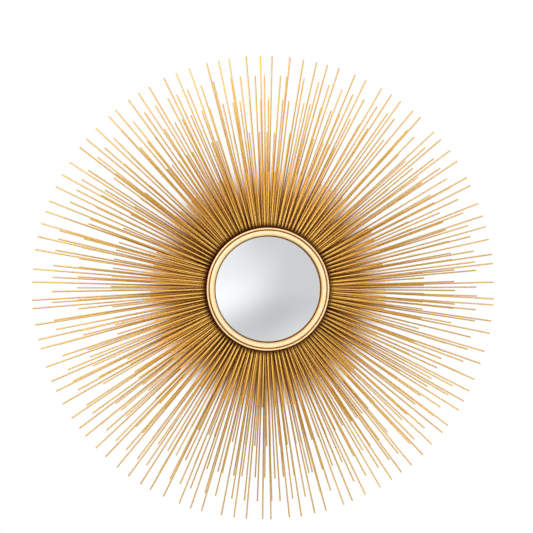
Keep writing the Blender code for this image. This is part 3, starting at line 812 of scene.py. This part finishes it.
class SUNBURST_OT_hub(bpy.types.Operator):
    """Makes the plates, drum and spacers that carry the rays, and the bolts that hold them"""

    bl_idname = "sunburst.hub"
    bl_label = "Hub"

    def execute(self, context):
        colours = context.scene.sunburst_finish
        paint = hub_paint(colours)
        zinc = zinc_plate(colours)
        self.make_back_plate(paint)
        self.make_front_plate(paint)
        self.make_drum(paint, context.scene.sunburst_rays.band_inner)
        self.make_bolts(zinc)
        self.make_bumpers(moulded_rubber("bumper_rubber", colours.rubber))
        refinish(zinc, *[f"{kind}_{i + 1}" for kind in ("hub_nut", "bezel_screw") for i in range(FASTENERS)])
        return {"FINISHED"}

    def make_back_plate(self, paint):
        """A pressed disc with a rolled rim and one stiffening rib."""
        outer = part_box("back_plate")[1].x
        rear, front = depths("back_plate")
        half = (front - rear) / 2
        rib = 0.8 * MM
        rib_inner, rib_outer, slope = 16 * MM, 26 * MM, 2 * MM
        outline = [(0, front)]
        outline += arc((outer - half, rear + half), (half, half), 90, -90, 8)
        outline += [(rib_outer, rear), (rib_outer - slope, rear + rib)]
        outline += [(rib_inner + slope, rear + rib), (rib_inner, rear), (0, rear)]
        disc = turn_on_lathe(outline, steps=128)
        fit(disc, "back_plate_disc", paint, ["back_plate"], angle=30)

    def make_front_plate(self, paint):
        """The ring that clamps the stack and carries the bezel, with its corners eased."""
        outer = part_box("front_plate")[1].x
        rear, front = depths("front_plate")
        edge = 0.4 * MM
        bore = 60 * MM
        outline = [(outer - edge, front), (outer, front - edge), (outer, rear + edge), (outer - edge, rear)]
        outline += [(bore + edge, rear), (bore, rear + edge), (bore, front - edge), (bore + edge, front)]
        outline += [outline[0]]
        fit(turn_on_lathe(outline, steps=128), "front_plate_ring", paint, ["front_plate"])

    def make_drum(self, paint, spacer_inner):
        """The drum that the bands are threaded on, and the spacers between them."""
        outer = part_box("hub_drum")[1].x
        wall = 1.5 * MM
        drum = turn_tube(outer, outer - wall, *depths("hub_drum"))
        fit(drum, "drum", paint, ["hub_drum"])
        for layer in range(LAYERS):
            node = f"ray_spacer_{layer + 1}"
            spacer = turn_tube(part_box(node)[1].x, spacer_inner, *depths(node))
            fit(spacer, f"spacer_{layer + 1}", paint, [node])

    def make_bolts(self, zinc):
        """Button heads with hexagon sockets, seen from behind."""
        head, head_height, dome = 4.5 * MM, 3 * MM, 2.4 * MM
        shank, lead = 2.5 * MM, 0.8 * MM
        socket, socket_deep = 1.75 * MM, 2 * MM
        rear, tip = depths("hub_bolt_1")
        seat = rear + head_height
        x, z = middle("hub_bolt_1")
        outline = [(0, tip), (shank * 0.7, tip), (shank, tip - lead), (shank, seat), (head, seat)]
        outline += arc((head * 0.5, rear + dome), (head * 0.5, dome), 0, -90, 8)
        outline += [(0, rear)]
        bolt = turn_on_lathe(outline, steps=32, centre=(x, z))
        put_down()
        face = (x, -rear, z)
        bpy.ops.mesh.primitive_cylinder_add(
            vertices=6, radius=socket, depth=2 * socket_deep, location=face, rotation=(math.pi / 2, 0, 0)
        )
        cut_with(bolt, bpy.context.object)
        set_all(bolt, "button_bolt", zinc, "hub_bolt")

    def make_bumpers(self, rubber):
        """Tapered feet with a moulded dimple in the face that meets the wall."""
        x, z = middle("wall_bumper_1")
        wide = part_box("wall_bumper_1")[1].x - x
        rear, front = depths("wall_bumper_1")
        narrow = wide * 0.85
        edge, round_edge = 0.4 * MM, 0.9 * MM
        outline = [(0, front), (wide - edge, front), (wide, front - edge)]
        outline += arc((narrow - round_edge, rear + round_edge), (round_edge, round_edge), 0, -90, 5)
        dimple = ((2.2, 0), (1.6, 1.2), (0, 1.4))
        outline += [(across * MM, rear + deep * MM) for across, deep in dimple]
        foot = turn_on_lathe(outline, steps=40, centre=(x, z))
        set_all(foot, "bumper", rubber, "wall_bumper")


class SUNBURST_OT_hangers(bpy.types.Operator):
    """Bends the two hanging rings and the straps that hold them, and sets their rivets"""

    bl_idname = "sunburst.hangers"
    bl_label = "Hangers"

    def execute(self, context):
        hanger = context.scene.sunburst_hanger
        zinc = zinc_plate(context.scene.sunburst_finish)
        for joint in frame["joints"]:
            side = joint["child"].split("_")[-1]
            hinge = Vector(joint["pos_m"])
            ring = self.bend_ring(hanger, hinge)
            fit(ring, f"ring_{side}", zinc, [f"hanger_ring_{side}"], joint["child"])
            strap = self.roll_strap(hanger, hinge, side)
            fit(strap, f"strap_{side}", zinc, [f"hanger_strap_{side}"])
        self.set_rivets(zinc)
        return {"FINISHED"}

    def bend_ring(self, hanger, hinge):
        """A D of round wire, drawn out and bent, with its bar on the hinge's line and its bow below."""
        wide, corner = hanger.half_width, hanger.corner
        put_down()
        bpy.ops.mesh.primitive_circle_add(
            vertices=12, radius=hanger.wire / 2, location=hinge, rotation=(0, math.pi / 2, 0)
        )
        bpy.ops.object.transform_apply(location=True, rotation=True, scale=False)
        open_up()
        for run, bend, angle, steps in (
            ((wide - corner, 0), (wide - corner, -corner), 90, 6),
            ((0, corner - hanger.side), (0, -hanger.side), 180, 24),
            ((0, hanger.side - corner), (corner - wide, -corner), 90, 6),
        ):
            bpy.ops.mesh.extrude_region_move(TRANSFORM_OT_translate={"value": (run[0], 0, run[1])})
            pivot = hinge + Vector((bend[0], 0, bend[1]))
            bpy.ops.mesh.spin(steps=steps, angle=math.radians(angle), center=pivot, axis=(0, -1, 0))
        bpy.ops.mesh.extrude_region_move(TRANSFORM_OT_translate={"value": (wide - corner, 0, 0)})
        close_up()
        return bpy.context.object

    def roll_strap(self, hanger, hinge, side):
        """A strip of sheet, rolled into an eye round the ring's bar."""
        low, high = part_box(f"hanger_strap_{side}")
        wide = high.x - low.x
        sheet = hanger.sheet
        eye = high.z - hinge.z - sheet / 2
        line = [(low.z - hinge.z, eye), *arc((0, 0), (eye, eye), 90, -205, 22)]
        strap = trace([(low.x, hinge.y - depth, hinge.z + z) for z, depth in line])
        bpy.ops.mesh.select_all(action="SELECT")
        bpy.ops.mesh.extrude_region_move(TRANSFORM_OT_translate={"value": (wide, 0, 0)})
        pick("VERT", lambda v: v.co.z < low.z + 0.01 * MM)
        bpy.ops.mesh.bevel(offset=hanger.strap_corner, segments=5, affect="VERTICES")
        bpy.ops.object.mode_set(mode="OBJECT")
        thicken = strap.modifiers.new("sheet", "SOLIDIFY")
        thicken.thickness = sheet
        thicken.offset = 0
        bpy.ops.object.modifier_apply(modifier=thicken.name)
        open_up()
        close_up()
        bevel_edges(strap, 0.25 * MM, angle=60)
        return strap

    def set_rivets(self, zinc):
        """Dome-headed rivets, through the straps and the back plate."""
        x, z = middle("hanger_rivet_1")
        rear, front = depths("hanger_rivet_1")
        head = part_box("hanger_rivet_1")[1].x - x
        shank = 2 * MM
        seat = rear + 1.3 * MM
        outline = [(0, front), (shank, front), (shank, seat), (head, seat)]
        outline += arc((0, seat), (head, seat - rear), 0, -90, 8)
        rivet = turn_on_lathe(outline, steps=32, centre=(x, z))
        set_all(rivet, "dome_rivet", zinc, "hanger_rivet")


# ---------------------------------------------------------------- stage
class SUNBURST_OT_stage(bpy.types.Operator):
    """Sets the pale floor, the wall, the soft white studio, the lights and the camera"""

    bl_idname = "sunburst.stage"
    bl_label = "Stage"

    def execute(self, context):
        stage = context.scene.sunburst_stage
        context.scene.view_settings.view_transform = "Standard"
        self.make_floor(stage)
        self.make_wall()
        self.make_world(context.scene)
        self.make_lights()
        self.make_camera(context.scene, stage)
        return {"FINISHED"}

    def make_floor(self, stage):
        """A pale floor some way below the mirror, left out of its reflections."""
        put_down()
        bpy.ops.mesh.primitive_plane_add(size=7, location=(0, 0, -stage.floor))
        floor = bpy.context.object
        floor.name = "floor"
        floor.visible_glossy = False
        paint, shader = new_finish("floor_paint", roughness=0.9)[:2]
        shader.inputs["Base Color"].default_value = rgba(linear("#F4F3F1"))
        floor.data.materials.append(paint)

    def make_wall(self):
        """The white wall that the mirror hangs on. It is clear to anyone who looks from behind."""
        put_down()
        bpy.ops.mesh.primitive_plane_add(size=2.6, location=(0, 0.5 * MM, 0), rotation=(math.pi / 2, 0, 0))
        bpy.ops.object.transform_apply(location=True, rotation=True, scale=False)
        wall = bpy.context.object
        wall.name = "wall"
        paint, shader, place = new_finish("wall_paint", roughness=0.9)
        tree = paint.node_tree
        radius = distance_from_axis(tree, place)[1]
        # The hub's shadow is painted on the wall, a little deeper than the lights make it, and the warm light
        # that the gold rods throw is painted at its edge.
        dark, warm, pale = linear("#2A1202"), linear("#D8A860"), linear("#FAECD2")
        shade = coat(tree, dark, warm, (radius, 140 * MM, 205 * MM, 0, 1))
        shade = coat(tree, shade, pale, (radius, 185 * MM, 245 * MM, 0, 1))
        tree.links.new(shade, shader.inputs["Base Color"])
        light_path = add_node(tree, "LightPath").outputs
        looked_at, shadow = light_path["Is Camera Ray"], light_path["Is Shadow Ray"]
        behind = add_node(tree, "NewGeometry").outputs["Backfacing"]
        # Away from the mirror its shading burns out to plain white, as on a wall that is lit very brightly.
        bright = ramps(tree, (radius, 200 * MM, 290 * MM, 0, 1))
        seen_behind, burnt = (
            add_node(tree, "Math", {"operation": "MULTIPLY"}, {0: part, 1: looked_at}).outputs["Value"]
            for part in (behind, bright)
        )
        through = {0: seen_behind, 1: shadow}
        clear = add_node(tree, "Math", {"operation": "MAXIMUM"}, through).outputs["Value"]
        white = add_node(tree, "Emission").outputs["Emission"]
        surface = {0: burnt, 1: shader.outputs["BSDF"], 2: white}
        lit = add_node(tree, "MixShader", None, surface).outputs["Shader"]
        gone = add_node(tree, "BsdfTransparent").outputs["BSDF"]
        mixed = add_node(tree, "MixShader", None, {0: clear, 1: lit, 2: gone}).outputs["Shader"]
        tree.links.new(mixed, tree.nodes["Material Output"].inputs["Surface"])
        wall.data.materials.append(paint)

    def make_world(self, scene):
        """White all round for the camera. The pieces reflect a pale studio with soft windows of light."""
        world = scene.world = bpy.data.worlds.new("studio")
        world.use_nodes = True
        tree = world.node_tree
        tree.nodes.clear()
        way = add_node(tree, "TexCoord").outputs["Generated"]
        light = 0.68
        # Each window of light, or grey panel where its strength is negative: how far round it is from the
        # front, its height and its angular radius, all in degrees, and its strength.
        for azimuth, height, spread, strength in (
            (-42, 5, 60, 0.45),
            (4, -61, 63, -0.6),
            (25, -55, 51, 0.75),
            (-22, 25, 35, -0.18),
            (-72, 25, 44, 1.8),
            (74, 5, 42, 2.0),
            (5, 74, 48, 1.4),
            (0, -74, 44, 1.6),
        ):
            a, h = math.radians(azimuth), math.radians(height)
            towards = (math.sin(a) * math.cos(h), -math.cos(a) * math.cos(h), math.sin(h))
            looks = {0: way, 1: towards}
            facing = add_node(tree, "VectorMath", {"operation": "DOT_PRODUCT"}, looks).outputs["Value"]
            rim = math.cos(math.radians(spread))
            soft = {"interpolation_type": "SMOOTHERSTEP"}
            window = {"Value": facing, "From Min": rim, "From Max": 1.0, "To Max": strength}
            glow = add_node(tree, "MapRange", soft, window).outputs["Result"]
            light = add_node(tree, "Math", {"operation": "ADD"}, {0: light, 1: glow}).outputs["Value"]
        # Nothing shines through the wall.
        ahead = add_node(tree, "SeparateXYZ", None, {"Vector": way}).outputs["Y"]
        half = {"Value": ahead, "From Min": 0.1, "From Max": -0.1}
        front = add_node(tree, "MapRange", None, half).outputs["Result"]
        light = add_node(tree, "Math", {"operation": "MULTIPLY"}, {0: light, 1: front}).outputs["Value"]
        white = rgba((1, 1, 1))
        reflected, seen = (
            add_node(tree, "Background", None, {"Color": white, "Strength": power}).outputs["Background"]
            for power in (light, 1.0)
        )
        is_seen = add_node(tree, "LightPath").outputs["Is Camera Ray"]
        mixed = add_node(tree, "MixShader", None, {0: is_seen, 1: reflected, 2: seen}).outputs["Shader"]
        add_node(tree, "OutputWorld", None, {"Surface": mixed})

    def make_lights(self):
        # Each square lamp's place and width in metres, and its power in watts. It is turned to the mirror.
        for name, place, size, power in (
            ("key_left", (-2.4, -1.8, 2.2), 1.4, 15),
            ("back_left", (-1.6, 2.4, 1.6), 1.6, 75),
            ("back_right", (2.0, 2.2, 0.8), 1.8, 55),
        ):
            data = bpy.data.lights.new(name, "AREA")
            data.size = size
            data.energy = power
            light = bpy.data.objects.new(name, data)
            light.location = place
            light.rotation_euler = (-Vector(place)).to_track_quat("-Z", "Y").to_euler()
            bpy.context.collection.objects.link(light)

    def make_camera(self, scene, stage):
        data = bpy.data.cameras.new("camera")
        data.lens = stage.lens
        camera = bpy.data.objects.new("camera", data)
        level = math.cos(stage.elevation)
        across, out = math.sin(stage.azimuth) * level, -math.cos(stage.azimuth) * level
        camera.location = Vector((across, out, math.sin(stage.elevation))) * stage.distance
        camera.rotation_euler = (Vector(stage.aim) - camera.location).to_track_quat("-Z", "Y").to_euler()
        scene.collection.objects.link(camera)
        scene.camera = camera


class SUNBURST_PT_panel(bpy.types.Panel):
    """Lists the mirror's pieces and their sizes"""

    bl_idname = "SUNBURST_PT_panel"
    bl_label = "Sunburst Mirror"
    bl_space_type = "VIEW_3D"
    bl_region_type = "UI"
    bl_category = "Sunburst"

    def draw(self, context):
        for operator, settings in STEPS:
            self.layout.operator(operator)
            group = getattr(context.scene, settings)
            box = self.layout.box()
            for name in type(group).__annotations__:
                box.prop(group, name)


STEPS = (
    ("sunburst.rays", "sunburst_rays"),
    ("sunburst.bezel", "sunburst_bezel"),
    ("sunburst.glass", "sunburst_glass"),
    ("sunburst.hub", "sunburst_finish"),
    ("sunburst.hangers", "sunburst_hanger"),
    ("sunburst.stage", "sunburst_stage"),
)
SETTINGS = {
    "sunburst_rays": RaySettings,
    "sunburst_bezel": BezelSettings,
    "sunburst_glass": GlassSettings,
    "sunburst_finish": FinishSettings,
    "sunburst_hanger": HangerSettings,
    "sunburst_stage": StageSettings,
}
CLASSES = (
    *SETTINGS.values(),
    SUNBURST_OT_rays,
    SUNBURST_OT_bezel,
    SUNBURST_OT_glass,
    SUNBURST_OT_hub,
    SUNBURST_OT_hangers,
    SUNBURST_OT_stage,
    SUNBURST_PT_panel,
)


def register():
    for cls in CLASSES:
        bpy.utils.register_class(cls)
    for name, group in SETTINGS.items():
        setattr(bpy.types.Scene, name, PointerProperty(type=group))


def unregister():
    for name in SETTINGS:
        delattr(bpy.types.Scene, name)
    for cls in reversed(CLASSES):
        bpy.utils.unregister_class(cls)


def main():
    register()
    bpy.ops.sunburst.rays()
    bpy.ops.sunburst.bezel()
    bpy.ops.sunburst.glass()
    bpy.ops.sunburst.hub()
    bpy.ops.sunburst.hangers()
    bpy.ops.sunburst.stage()


if __name__ == "__main__":
    main()
